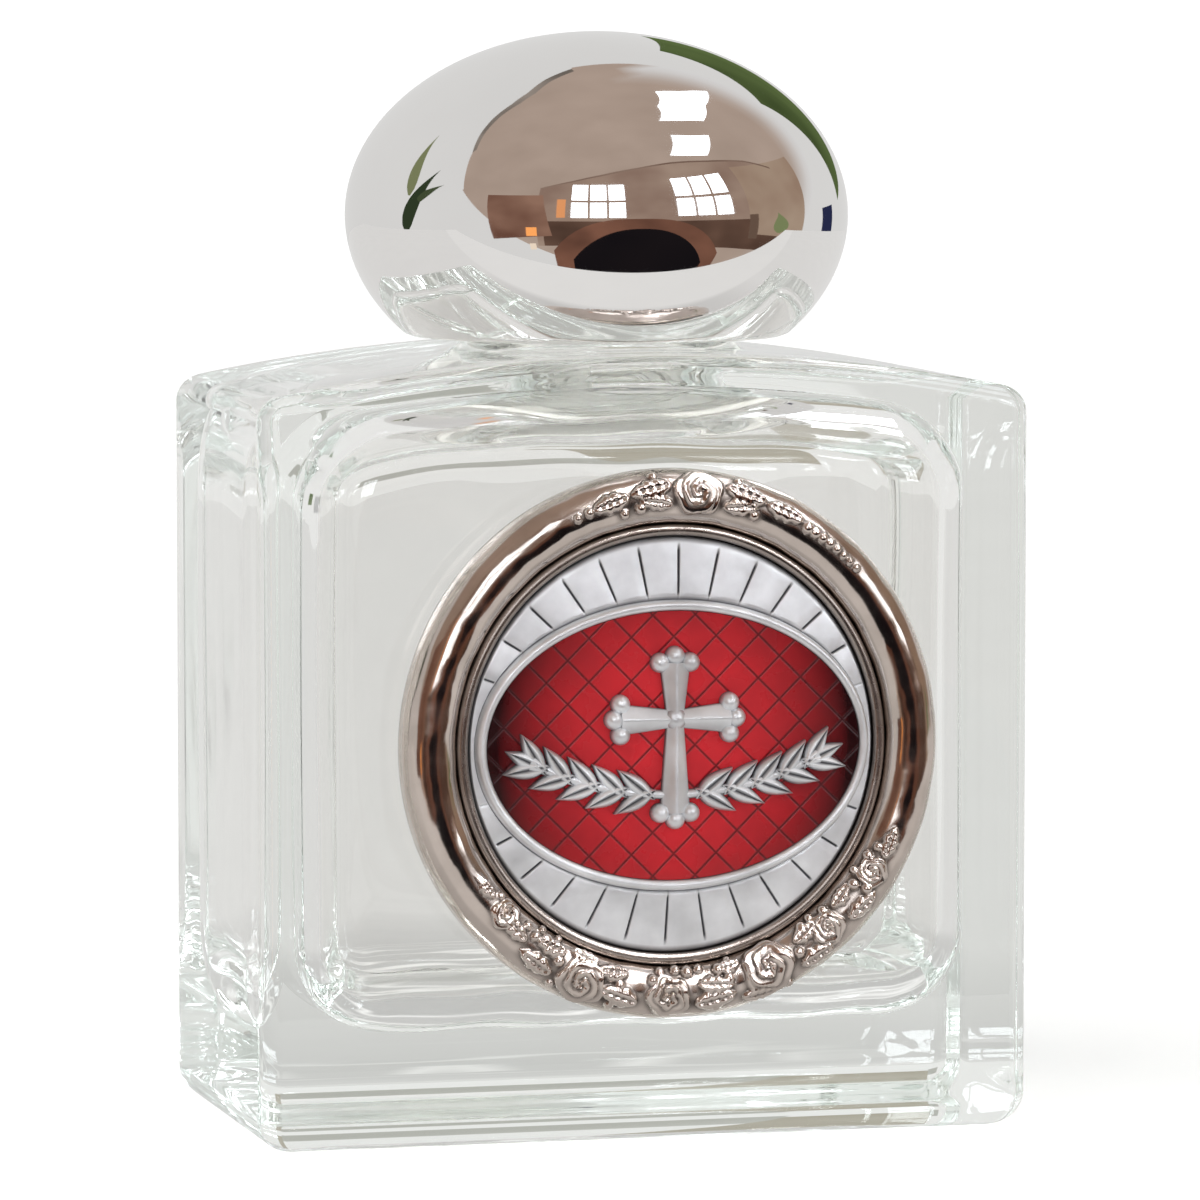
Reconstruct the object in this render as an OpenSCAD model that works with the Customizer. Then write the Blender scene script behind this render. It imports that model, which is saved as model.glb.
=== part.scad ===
/* [Glass body] */
// Width of the glass body
body_w = 44; // [40:0.5:54]
// Depth of the glass body, front to back
body_d = 24; // [23:0.5:32]
// Height of the narrow sides up to the shoulder's edge
body_h = 41.5; // [40:0.5:56]
// Rounding of the four upright edges
upright_r = 1.2; // [0.6:0.1:2.4]
// Rounding of the edges round the foot
foot_r = 2; // [0.8:0.1:3]
// Rounding of the edges round the shoulder
eave_r = 1.2; // [0.6:0.1:2]
// Climb of the arched shoulder from its edges to its crown under the neck
shoulder_rise = 2.3; // [1:0.1:3]
// Glass thickness of the two narrow sides
side_wall = 2.8; // [2:0.1:4]
// Glass thickness of the front and the back
face_wall = 2.6; // [2:0.1:3.4]
// Glass thickness of the heavy base
base_t = 6; // [3:0.5:9]
// Glass thickness of the shoulder, between its arch and the hollow's vault
shoulder_t = 2; // [1.6:0.1:3]
// Height of the flared throat between the hollow's vault and the bore
throat_h = 2; // [1:0.1:3]
// Flare of the throat outside the bore
throat_flare = 1.6; // [0.5:0.1:2.4]
// Rounding of the hollow's upright edges
hollow_upright_r = 4; // [2:0.25:5]
// Rounding of the hollow's floor edges
hollow_floor_r = 5; // [2:0.25:6]
// Rounding of the edges round the hollow's vault
vault_edge_r = 4.5; // [1.5:0.25:6]

/* [Neck] */
// Diameter of the neck under its thread
neck_d = 15.6; // [14:0.1:16.4]
// Diameter of the bore through the neck
bore_d = 9.6; // [8:0.1:11]
// Height of the neck above the shoulder's crown
neck_h = 11.2; // [9:0.1:14]
// Rounding of the lip, inside and out
lip_r = 0.8; // [0.4:0.1:1.2]

/* [Cap] */
// Greatest diameter of the egg-shaped cap
cap_d = 28.4; // [26:0.1:34]
// Gap between the closed cap's foot and the shoulder's crown
cap_gap = 0.5; // [0.3:0.1:1.6]
// Wall of the metallised shell
shell_wall = 1.3; // [0.9:0.1:1.8]
// Wall of the shell at its foot, where it grips the screw insert
grip_wall = 0.85; // [0.7:0.05:1.4]
// Height of the shell's crown above the screw insert
crown_t = 4.5; // [3.5:0.1:6]
// Number of ribs inside the shell that centre the screw insert
rib_count = 8; // [4:1:12]
// Thickness of each rib
rib_t = 1; // [0.8:0.1:1.6]
// Radial room for the thread between the neck and the screw insert
thread_room = 1.1; // [0.8:0.05:1.4]
// Wall of the screw insert
insert_wall = 0.9; // [0.7:0.05:1.3]
// Top thickness of the screw insert
insert_top_t = 1; // [0.8:0.1:1.6]
// Thickness of the sealing liner
liner_t = 0.9; // [0.6:0.1:1.4]
// Gap of each fit inside the cap
fit_gap = 0.05; // [0.03:0.01:0.12]

/* [Medallion frame] */
// Diameter of the medallion frame
medallion_d = 30.4; // [26:0.1:33]
// Place of the medallion to the right of the body's middle
medallion_x = 0.7; // [-2:0.1:2]
// Height of the medallion's centre
medallion_z = 22.4; // [18:0.1:24]
// Thickness of the adhesive pad
adhesive_t = 0.5; // [0.2:0.1:1]
// Setback of the adhesive pad from the frame's edge
adhesive_inset = 1; // [0.5:0.1:3]
// Thickness of the frame's back
tray_t = 0.8; // [0.5:0.1:1.2]
// Width of the frame's half-round roll
roll_w = 3; // [2.4:0.1:3.6]
// Height of the roll's straight side
roll_side = 1.1; // [0.8:0.1:1.6]
// Width of the bead inside the roll
bead_w = 0.65; // [0.4:0.05:1]

/* [Plaque] */
// Thickness of the plaque at its edge
plaque_edge_t = 0.6; // [0.4:0.1:1]
// Dome of the plaque above its edge
plaque_dome = 0.7; // [0.4:0.1:1.2]
// Gap round the plaque inside the frame
plaque_gap = 0.05; // [0.03:0.01:0.1]
// Width of the enamelled oval
oval_w = 21.2; // [17:0.1:21.4]
// Height of the enamelled oval
oval_h = 14.9; // [12:0.1:18]
// Width of the raised silver bezel round the enamel
bezel_w = 0.6; // [0.4:0.05:0.8]
// Height of the bezel above the enamel
bezel_h = 0.3; // [0.1:0.05:0.6]
// Thickness of the enamel
enamel_t = 0.6; // [0.4:0.05:0.8]
// Silver left under the enamel
enamel_floor_t = 0.45; // [0.3:0.05:0.8]
// Places for engraved rays round the plaque
ray_count = 30; // [16:1:40]
// Degrees from the right to the first ray
ray_phase = 4; // [0:0.5:12]
// Width of a ray's groove
ray_w = 0.2; // [0.1:0.05:0.4]
// Depth of a ray's groove
ray_depth = 0.12; // [0.05:0.01:0.2]
// Plain silver outside the rays
ray_border = 0.4; // [0.2:0.05:0.8]

/* [Emblem] */
// Thickness of the silver relief on the enamel
relief_t = 0.8; // [0.5:0.1:1.4]
// Height of the cross's crossing above the middle of the oval
crossing_y = 1.5; // [0:0.1:2]
// Reach of the cross's upper and side arms
arm = 3.1; // [2.4:0.1:3.6]
// Reach of the cross's lower arm
shaft = 5.2; // [4:0.1:5.6]
// Width of an arm at the crossing
arm_w = 0.9; // [0.6:0.1:1.4]
// Width of an arm at its flared end
flare_w = 1.7; // [1:0.1:2.2]
// Diameter of the three buds that end each arm
bud_d = 1.1; // [0.6:0.1:1.4]
// Height at which the branches cross the lower arm, above its end
branch_lift = 1; // [0:0.1:2]
// Radius of the curve that each olive branch follows
branch_r = 18; // [12:0.5:26]
// Degrees of the curve that a branch covers
branch_sweep = 25; // [16:1:28]
// Width of a branch's stem
stem_w = 0.5; // [0.3:0.05:0.8]
// Pairs of leaves on a branch
leaf_pairs = 5; // [3:1:7]
// Length of a leaf
leaf_l = 2.7; // [1.8:0.1:3.2]
// Width of a leaf
leaf_w = 1; // [0.5:0.05:1.4]
// Degrees between a leaf and its stem
leaf_angle = 34; // [20:1:50]

/* [Hidden] */
$fn = 96;

// Heights up the bottle's axis
crown_z = body_h + shoulder_rise;
vault_z = crown_z - shoulder_t;
lip_z = crown_z + neck_h;
liner_top_z = lip_z + liner_t;
insert_top_z = liner_top_z + insert_top_t;
cap_foot_z = crown_z + cap_gap;
cap_top_z = insert_top_z + crown_t;

// The shoulder is an arc over the body's width, and the hollow's vault runs inside it about the same axis
arch_r = (body_w * body_w / 4 + shoulder_rise * shoulder_rise) / (2 * shoulder_rise);
vault_r = arch_r - shoulder_t;
arch_mid_z = crown_z - arch_r;

// Radii about the bottle's axis
neck_r = neck_d / 2;
bore_r = bore_d / 2;
insert_bore_r = neck_r + thread_room;
insert_r = insert_bore_r + insert_wall;
socket_r = insert_r + fit_gap;
cap_foot_r = socket_r + grip_wall;
cap_r = cap_d / 2;
liner_r = insert_bore_r - fit_gap;

// The cap is an ellipsoid cut flat at its foot
cap_cut = -acos(cap_foot_r / cap_r);
cap_b = (cap_top_z - cap_foot_z) / (1 - sin(cap_cut));
cap_mid_z = cap_top_z - cap_b;
profile_steps = 40;

// Levels outward from the glass, and radii about the medallion's axis
tray_z = adhesive_t + tray_t;
medallion_r = medallion_d / 2;
opening_r = medallion_r - roll_w - bead_w;
plaque_r = opening_r - plaque_gap;
dome_r = (plaque_r * plaque_r + plaque_dome * plaque_dome) / (2 * plaque_dome);
enamel_z = tray_z + enamel_floor_t;
enamel_top_z = enamel_z + enamel_t;
oval_steps = 96;

// Overlap that joins shapes of one solid, and the reach of cuts past a face
weld = 0.2;

// Steps of a circle that only a short arc is used of
arc_fn = 720;

function oval(a, b, from = 0, to = 360, steps = oval_steps) =
  [for (i = [0:steps]) let (t = from + (to - from) * i / steps) [a * cos(t), b * sin(t)]];

// Takes the waste outside a fillet from the corner p between its neighbours a and b
module corner_waste(p, a, b, r) {
  u = (a - p) / norm(a - p);
  v = (b - p) / norm(b - p);
  half = acos(u * v) / 2;
  centre = p + (u + v) / norm(u + v) * r / sin(half);
  reach = r / tan(half);
  difference() {
    polygon([p, p + u * reach, centre, p + v * reach]);
    translate(centre)
      circle(r);
  }
}

// Outline with one fillet radius per corner, where 0 leaves the corner sharp
module filleted(points, radii) {
  n = len(points);
  difference() {
    polygon(points);
    for (i = [0:n - 1])
      if (radii[i] > 0)
        corner_waste(points[i], points[(i + n - 1) % n], points[(i + 1) % n], radii[i]);
  }
}

module plan_outline(w, d, r) {
  filleted([[-w / 2, -d / 2], [w / 2, -d / 2], [w / 2, d / 2], [-w / 2, d / 2]], [r, r, r, r]);
}

// Upright outline with a floor and two walls, open above
module floor_outline(w, floor_z, top_z, floor_r) {
  filleted(
    [[-w / 2, floor_z], [w / 2, floor_z], [w / 2, top_z], [-w / 2, top_z]],
    [floor_r, floor_r, 0, 0]
  );
}

// Takes the waste outside the fillet between a wall and an arch of radius r about mid_z
module eave_waste(w, mid_z, r, edge_r) {
  x = w / 2 - edge_r;
  rise = sqrt(pow(r - edge_r, 2) - x * x);
  past = (r + edge_r) / (r - edge_r);
  difference() {
    polygon([
      [x, mid_z + rise],
      [w / 2 + edge_r, mid_z + rise],
      [w / 2 + edge_r, mid_z + rise * past],
      [x * past, mid_z + rise * past]
    ]);
    translate([x, mid_z + rise])
      circle(edge_r);
  }
}

// Upright outline with a floor, two walls and an arch over them
module arch_outline(w, floor_z, mid_z, r, floor_r, edge_r) {
  difference() {
    intersection() {
      floor_outline(w, floor_z, mid_z + r + weld, floor_r);
      translate([0, mid_z])
        circle(r, $fn = arc_fn);
    }
    eave_waste(w, mid_z, r, edge_r);
    mirror([1, 0])
      eave_waste(w, mid_z, r, edge_r);
  }
}

// Upright disc about the arch's axis, whose rounded rim softens the arch's front and back edges
module arch_disc(d, mid_z, r, edge_r) {
  translate([0, 0, mid_z])
    rotate([90, 0, 0])
      rotate_extrude($fn = arc_fn)
        filleted([[0, -d / 2], [r, -d / 2], [r, d / 2], [0, d / 2]], [0, edge_r, edge_r, 0]);
}

// Block with an arched top and every edge rounded: plan, front and side outlines run through an arched disc
module arched_block(w, d, floor_z, r, upright_r, floor_r, edge_r) {
  top_z = arch_mid_z + r + weld;
  intersection() {
    translate([0, 0, floor_z])
      linear_extrude(top_z - floor_z)
        plan_outline(w, d, upright_r);
    rotate([90, 0, 0])
      linear_extrude(d + 2 * weld, center = true)
        arch_outline(w, floor_z, arch_mid_z, r, floor_r, edge_r);
    rotate([90, 0, 90])
      linear_extrude(w + 2 * weld, center = true)
        floor_outline(d, floor_z, top_z, floor_r);
    arch_disc(d, arch_mid_z, r, edge_r);
  }
}

module glass_body() {
  arched_block(body_w, body_d, 0, arch_r, upright_r, foot_r, eave_r);
}

// The hollow, its throat under the neck and the bore
module hollow() {
  w = body_w - 2 * side_wall;
  d = body_d - 2 * face_wall;
  sink = 2 * weld;
  arched_block(w, d, base_t, vault_r, hollow_upright_r, hollow_floor_r, vault_edge_r);
  translate([0, 0, vault_z - sink])
    cylinder(r1 = bore_r + throat_flare, r2 = bore_r, h = throat_h + sink);
  translate([0, 0, vault_z])
    cylinder(r = bore_r, h = shoulder_t + weld);
}

module neck_ring() {
  foot_z = crown_z - shoulder_t / 2;
  rotate_extrude()
    filleted([[bore_r, foot_z], [neck_r, foot_z], [neck_r, lip_z], [bore_r, lip_z]], [0, 0, lip_r, lip_r]);
}

module glass_bottle() {
  color("gainsboro")
    difference() {
      union() {
        glass_body();
        neck_ring();
      }
      hollow();
    }
}

// Solid of the cap's egg, drawn in by inset all over
module cap_egg(inset) {
  a = cap_r - inset;
  b = cap_b - inset;
  cut = inset > 0 ? -90 : cap_cut;
  translate([0, 0, cap_mid_z])
    rotate_extrude()
      polygon(concat([[0, b * sin(cut)]], oval(a, b, cut, 90, profile_steps)));
}

module cap_ribs() {
  intersection() {
    cap_egg(shell_wall / 2);
    for (i = [0:rib_count - 1])
      rotate([0, 0, i * 360 / rib_count])
        translate([socket_r - weld, -rib_t / 2, cap_foot_z + grip_wall])
          cube([cap_r, rib_t, insert_top_z - cap_foot_z - grip_wall]);
  }
}

module cap_shell() {
  color("silver")
    difference() {
      union() {
        difference() {
          cap_egg(0);
          cap_egg(shell_wall);
        }
        cap_ribs();
      }
      translate([0, 0, cap_foot_z - weld])
        cylinder(r = socket_r, h = insert_top_z + fit_gap - cap_foot_z + weld);
    }
}

module cap_insert() {
  color("white")
    difference() {
      translate([0, 0, cap_foot_z])
        cylinder(r = insert_r, h = insert_top_z - cap_foot_z);
      translate([0, 0, cap_foot_z - weld])
        cylinder(r = insert_bore_r, h = liner_top_z - cap_foot_z + weld);
    }
}

module cap_liner() {
  color("whitesmoke")
    translate([0, 0, lip_z])
      cylinder(r = liner_r, h = liner_t);
}

// Sets a piece on the front of the glass: x to the right, y up and z outward
module on_front() {
  translate([medallion_x, -body_d / 2, medallion_z])
    rotate([90, 0, 0])
      children();
}

module adhesive_pad() {
  color("white")
    on_front()
      cylinder(r = medallion_r - adhesive_inset, h = adhesive_t);
}

// Half-round moulding on a straight stem, standing on the frame's back
module moulding(inner_r, w, stem_z) {
  translate([inner_r + w / 2, stem_z])
    intersection() {
      circle(d = w);
      translate([-w / 2, 0])
        square([w, w / 2]);
    }
  translate([inner_r, adhesive_t])
    square([w, stem_z - adhesive_t]);
}

module medallion_frame() {
  color("rosybrown")
    on_front()
      rotate_extrude() {
        translate([0, adhesive_t])
          square([medallion_r, tray_t]);
        moulding(medallion_r - roll_w, roll_w, adhesive_t + roll_side);
        moulding(opening_r, bead_w, tray_z + plaque_edge_t);
      }
}

// Half section of the plaque: a flat back and a shallow domed front, lowered by sink
module plaque_section(sink) {
  front_t = plaque_edge_t + plaque_dome;
  intersection() {
    translate([0, tray_z])
      square([plaque_r, front_t]);
    translate([0, tray_z + front_t - sink - dome_r])
      circle(dome_r, $fn = arc_fn);
  }
}

// Grooves of one depth in the dome, in the places where the silver outside the bezel is wide enough for one
module rays() {
  a = oval_w / 2 + bezel_w;
  b = oval_h / 2 + bezel_w;
  reach = plaque_r - ray_border;
  difference() {
    for (i = [0:ray_count - 1])
      let (t = ray_phase + i * 360 / ray_count, bezel_r = a * b / norm([b * cos(t), a * sin(t)]))
        if (bezel_r + ray_border < reach)
          rotate([0, 0, t])
            translate([oval_h / 2, -ray_w / 2, tray_z + plaque_edge_t - ray_depth])
              cube([reach - oval_h / 2, ray_w, plaque_dome + 2 * ray_depth]);
    rotate_extrude()
      plaque_section(ray_depth);
  }
}

module silver_plaque() {
  bezel_top_z = enamel_top_z + bezel_h;
  color("silver")
    on_front() {
      difference() {
        rotate_extrude()
          plaque_section(0);
        rays();
        translate([0, 0, enamel_z])
          linear_extrude(bezel_top_z - enamel_z)
            polygon(oval(oval_w / 2 + bezel_w / 2, oval_h / 2 + bezel_w / 2));
      }
      translate([0, 0, enamel_z - weld])
        linear_extrude(bezel_top_z - enamel_z + weld)
          difference() {
            polygon(oval(oval_w / 2 + bezel_w, oval_h / 2 + bezel_w));
            polygon(oval(oval_w / 2, oval_h / 2));
          }
    }
}

module enamel_field() {
  color("firebrick")
    on_front()
      translate([0, 0, enamel_z])
        linear_extrude(enamel_t)
          polygon(oval(oval_w / 2, oval_h / 2));
}

module cross_arm(reach) {
  polygon([[0, -arm_w / 2], [reach, -flare_w / 2], [reach, flare_w / 2], [0, arm_w / 2]]);
  for (side = [-1, 1])
    translate([reach, side * flare_w / 2])
      circle(d = bud_d);
  translate([reach + bud_d / 3, 0])
    circle(d = bud_d);
}

module leaf() {
  bow_r = (leaf_l * leaf_l + leaf_w * leaf_w) / (4 * leaf_w);
  translate([leaf_l / 2 - stem_w, 0])
    intersection() {
      translate([0, bow_r - leaf_w / 2])
        circle(bow_r);
      translate([0, leaf_w / 2 - bow_r])
        circle(bow_r);
    }
}

// One olive branch, from the foot of the cross outward to the right
module branch() {
  foot_y = crossing_y - shaft + branch_lift;
  translate([0, foot_y + branch_r]) {
    polygon(concat(
      oval(branch_r + stem_w / 2, branch_r + stem_w / 2, -90, branch_sweep - 90, profile_steps),
      oval(branch_r - stem_w / 2, branch_r - stem_w / 2, branch_sweep - 90, -90, profile_steps)
    ));
    for (i = [1:leaf_pairs])
      let (t = branch_sweep * i / leaf_pairs - 90)
        translate([branch_r * cos(t), branch_r * sin(t)])
          for (side = i < leaf_pairs ? [-1, 1] : [-1, 0, 1])
            rotate([0, 0, t + 90 + side * leaf_angle])
              leaf();
  }
}

module emblem() {
  color("silver")
    on_front()
      translate([0, 0, enamel_top_z])
        linear_extrude(relief_t) {
          translate([0, crossing_y]) {
            for (turn = [0, 90, 180])
              rotate([0, 0, turn])
                cross_arm(arm);
            rotate([0, 0, 270])
              cross_arm(shaft);
          }
          branch();
          mirror([1, 0])
            branch();
        }
}

glass_bottle();
cap_shell();
cap_insert();
cap_liner();
adhesive_pad();
medallion_frame();
silver_plaque();
enamel_field();
emblem();
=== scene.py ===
import math

import bmesh
import bpy
import numpy as np
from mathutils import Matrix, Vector


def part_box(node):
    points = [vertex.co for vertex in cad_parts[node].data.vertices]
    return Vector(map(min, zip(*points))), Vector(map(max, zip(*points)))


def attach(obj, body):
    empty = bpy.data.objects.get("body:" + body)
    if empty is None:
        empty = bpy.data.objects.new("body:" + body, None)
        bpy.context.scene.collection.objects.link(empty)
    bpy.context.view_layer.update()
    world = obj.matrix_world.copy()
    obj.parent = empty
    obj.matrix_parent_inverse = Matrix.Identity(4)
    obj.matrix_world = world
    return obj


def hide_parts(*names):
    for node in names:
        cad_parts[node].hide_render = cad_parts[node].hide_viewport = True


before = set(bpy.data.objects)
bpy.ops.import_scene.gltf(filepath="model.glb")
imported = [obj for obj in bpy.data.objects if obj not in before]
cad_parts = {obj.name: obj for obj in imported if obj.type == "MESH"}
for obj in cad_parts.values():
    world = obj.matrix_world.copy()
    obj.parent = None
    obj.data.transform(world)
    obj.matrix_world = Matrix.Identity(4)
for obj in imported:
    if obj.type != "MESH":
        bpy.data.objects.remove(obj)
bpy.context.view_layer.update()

# Lengths are in millimetres, in the frame's own axes, and become metres in add_piece
MM = 0.001


def box_mm(node):
    low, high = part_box(node)
    return np.array(low) / MM, np.array(high) / MM


# Glass body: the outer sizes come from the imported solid
GLASS_LOW, GLASS_HIGH = box_mm("glass_bottle")
HALF_W = GLASS_HIGH[0]
HALF_D = GLASS_HIGH[1]
FRONT_Y = GLASS_LOW[1]
LIP_Z = GLASS_HIGH[2]
EAVE_Z = 41.5
CROWN_Z = 43.8
UPRIGHT_R = 1.2
FOOT_R = 2.0
EAVE_R = 1.2
NECK_R = 7.8
NECK_ROOT = 0.7
BORE_R = 4.8
LIP_R = 0.8
HOLLOW_W = HALF_W - 2.8
HOLLOW_D = HALF_D - 2.6
HOLLOW_FLOOR = 6.0
HOLLOW_FLOOR_R = 5.0
HOLLOW_UPRIGHT_R = 4.0
SHOULDER_T = 2.0
VAULT_EDGE_R = 4.5
THROAT_H = 2.0
THROAT_FLARE = 1.6
# The shoulder is an arc over the body's width, and the hollow's vault runs inside it
ARCH_R = (HALF_W ** 2 + (CROWN_Z - EAVE_Z) ** 2) / (2 * (CROWN_Z - EAVE_Z))
VAULT_Z = CROWN_Z - SHOULDER_T

# Screw thread: one right-hand helix on the neck, and one inside the cap half a pitch above it
PITCH = 3.175
THREAD_START = 46.6
THREAD_TURNS = 1.6
NECK_RIDGE = 0.85
CAP_RIDGE = 0.75
RIDGE_HALF = 0.72

# Cap
CAP_LOW, CAP_HIGH = box_mm("cap_shell")
INSERT_LOW, INSERT_HIGH = box_mm("cap_insert")
LINER_LOW, LINER_HIGH = box_mm("cap_liner")
CAP_R = CAP_HIGH[0]
CAP_FOOT_R = 10.7
SHELL_WALL = 1.3
SOCKET_R = 9.85
INSERT_BORE_R = 8.9

# Medallion, in its own plane: x to the right, y up, z out of the glass
RIM_LOW, RIM_HIGH = box_mm("medallion_frame")
MEDAL_X = (RIM_LOW[0] + RIM_HIGH[0]) / 2
MEDAL_Z = (RIM_LOW[2] + RIM_HIGH[2]) / 2
RIM_R = (RIM_HIGH[0] - RIM_LOW[0]) / 2
RIM_BACK = FRONT_Y - RIM_HIGH[1]
PAD_R = box_mm("adhesive_pad")[1][0] - MEDAL_X
ROLL_R = 1.5
ROLL_MID = RIM_R - ROLL_R
ROLL_FOOT = RIM_BACK + 1.1
BEAD_R = 0.325
BEAD_MID = RIM_R - 2 * ROLL_R - BEAD_R
BEAD_Z = 1.9
TRAY_Z = 1.3
PLAQUE_R = 11.5
PLAQUE_EDGE = 0.6
PLAQUE_DOME = 0.7
OVAL_A = 10.6
OVAL_B = 7.45
BEZEL_W = 0.6
BEZEL_TOP = 2.65
ENAMEL_FLOOR = 1.75
ENAMEL_TOP = 2.35


# Mesh helpers
def smooth(t):
    t = np.clip(t, 0, 1)
    return t * t * (3 - 2 * t)


def loft(loops):
    """Points and faces of a skin over closed loops; a loop of one point closes an end."""
    starts = np.cumsum([0] + [len(loop) for loop in loops])
    faces = []
    for low, high, a, b in zip(loops, loops[1:], starts, starts[1:]):
        count = max(len(low), len(high))
        for j in range(count):
            k = (j + 1) % count
            quad = (a + j % len(low), a + k % len(low), b + k % len(high), b + j % len(high))
            # At an end two of the corners are one point
            faces.append(tuple(dict.fromkeys(quad)))
    return np.vstack(loops), faces


def pole(z):
    return np.array([[0.0, 0.0, z]])


def ring(radius, z, angles):
    radius = np.broadcast_to(radius, angles.shape)
    height = np.broadcast_to(z, angles.shape)
    return np.column_stack([radius * np.cos(angles), radius * np.sin(angles), height])


def heading(degrees):
    return math.cos(math.radians(degrees)), math.sin(math.radians(degrees))


def full_turn(count):
    return np.linspace(0, 2 * np.pi, count, endpoint=False)


def on_front(points):
    """From the medallion's own plane to the part's frame."""
    x, y, z = np.asarray(points).T
    return np.column_stack([x + MEDAL_X, FRONT_Y - z, y + MEDAL_Z])


def turned(profile, angles):
    return [ring(radius, z, angles) for radius, z in profile]


def quarter(radius, step, start=0):
    """Steps of a rounding: its radius times 1 less the sine, and times 1 less the cosine."""
    turns = np.radians(np.arange(start, 91, step))
    return zip(radius * (1 - np.sin(turns)), radius * (1 - np.cos(turns)))


def front_loft(loops):
    points, faces = loft(loops)
    return on_front(points), faces


def add_object(name, data):
    made = bpy.data.objects.new(name, data)
    bpy.context.scene.collection.objects.link(made)
    return made


def add_piece(name, points, faces, material, body, slot, node, sharp=None, shade=None):
    mesh = bpy.data.meshes.new(name)
    mesh.from_pydata((np.asarray(points) * MM).tolist(), [], [tuple(map(int, f)) for f in faces])
    if shade is not None:
        # The hollow share darkens metal: tarnish together with painted shade
        mesh.attributes.new("hollow", "FLOAT", "POINT").data.foreach_set("value", shade)
    work = bmesh.new()
    work.from_mesh(mesh)
    bmesh.ops.remove_doubles(work, verts=work.verts, dist=1e-7)
    bmesh.ops.dissolve_degenerate(work, edges=work.edges, dist=1e-7)
    work.to_mesh(mesh)
    work.free()
    mesh.polygons.foreach_set("use_smooth", [True] * len(mesh.polygons))
    if sharp:
        mesh.set_sharp_from_angle(angle=math.radians(sharp))
    mesh.materials.append(material)
    piece = add_object(name, mesh)
    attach(piece, body)
    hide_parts(node)
    return piece


# Node helpers
def new_material(name):
    material = bpy.data.materials.new(name)
    material.use_nodes = True
    tree = material.node_tree
    return material, tree, tree.nodes["Principled BSDF"]


def node(tree, kind, **values):
    made = tree.nodes.new("ShaderNode" + kind)
    for key, value in values.items():
        setattr(made, key, value)
    return made


def fill(socket, value):
    """Links an input to another node's output, or sets it to a plain value."""
    if isinstance(value, bpy.types.NodeSocket):
        socket.id_data.links.new(value, socket)
    else:
        socket.default_value = value


def feed(target, **values):
    """Fills a node's inputs by name, with _ for a space."""
    for name, value in values.items():
        fill(target.inputs[name.replace("_", " ")], value)
    return target


def own_place(tree):
    """A point's place in the piece's own coordinates, in which 1 is a metre."""
    return node(tree, "TexCoord").outputs["Object"]


def own_axes(tree):
    return feed(node(tree, "SeparateXYZ"), Vector=own_place(tree)).outputs


def noise(tree, scale, detail=3.0, stretch=(1, 1, 1)):
    turn = feed(node(tree, "Mapping"), Vector=own_place(tree), Scale=stretch)
    made = node(tree, "TexNoise")
    feed(made, Vector=turn.outputs["Vector"], Scale=scale, Detail=detail)
    return made.outputs["Fac"]


def spread(value, low=0, high=1, start=0.3, end=0.7):
    """Maps a value between start and end onto low to high."""
    made = node(value.id_data, "MapRange")
    feed(made, Value=value, From_Min=start, From_Max=end, To_Min=low, To_Max=high)
    return made.outputs["Result"]


def blend(share, first, second):
    """Mixes two colours; each is a plain colour or another node's output."""
    made = feed(node(share.id_data, "Mix", data_type="RGBA"), Factor=share)
    for name, colour in (("A", first), ("B", second)):
        target = next(s for s in made.inputs if s.name == name and s.type == "RGBA")
        fill(target, (*colour, 1) if isinstance(colour, tuple) else colour)
    return next(s for s in made.outputs if s.type == "RGBA")


def maths(first, second, operation="MULTIPLY"):
    made = node(first.id_data, "Math", operation=operation)
    fill(made.inputs[0], first)
    fill(made.inputs[1], second)
    return made.outputs["Value"]


def bump(shader, height, depth):
    """Makes a surface uneven; depth is in millimetres."""
    made = feed(node(shader.id_data, "Bump"), Height=height, Distance=depth * MM)
    feed(shader, Normal=made.outputs["Normal"])


# Materials
# Roughness that the full mask of tarnish and painted shade adds
TARNISH_AND_SHADE_ROUGH = 0.3
# Diamonds of the enamel's lattice over the oval's half width and half height, and where its lines fade
LATTICE = (4.4, 3.1)
LINE_FADE = (0.015, 0.06)


def glass_material():
    material, tree, shader = new_material("clear_glass")
    smear = noise(tree, 160, 4)
    tint = blend(spread(smear), (0.965, 0.962, 0.952), (0.982, 0.98, 0.97))
    feed(shader, Base_Color=tint, Roughness=spread(smear, 0.005, 0.03))
    feed(shader, Transmission_Weight=1.0, IOR=1.52)
    depth = node(tree, "VolumeAbsorption")
    feed(depth, Color=(0.60, 0.80, 0.68, 1), Density=4.0)
    feed(tree.nodes["Material Output"], Volume=depth.outputs["Volume"])
    return material


def metal_material(name, metallic, bright, worn, dark, rough, grain, depth):
    """Polished metal with tarnish and painted shade in its hollows, and fine unevenness; satin plating is
    less metallic.
    """
    material, tree, shader = new_material(name)
    hollow = node(tree, "Attribute", attribute_name="hollow").outputs["Fac"]
    colour = blend(spread(noise(tree, 350, 4)), bright, worn)
    fine = noise(tree, grain, 5)
    dull = maths(spread(fine, *rough), maths(hollow, TARNISH_AND_SHADE_ROUGH), "ADD")
    # The hollow mask blends towards dark: tarnish together with painted shade in recesses, creases and at
    # the feet of raised forms
    colour = blend(hollow, colour, dark)
    feed(shader, Metallic=metallic, Base_Color=colour, Roughness=dull)
    bump(shader, fine, depth)
    return material


def chrome_material():
    material, tree, shader = new_material("chromed_shell")
    cloud = spread(noise(tree, 90, 5))
    colour = blend(cloud, (0.90, 0.885, 0.875), (0.86, 0.845, 0.835))
    smear = spread(noise(tree, 400, 6), 0.012, 0.05)
    feed(shader, Metallic=1.0, Base_Color=colour, Roughness=smear)
    return material


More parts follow.
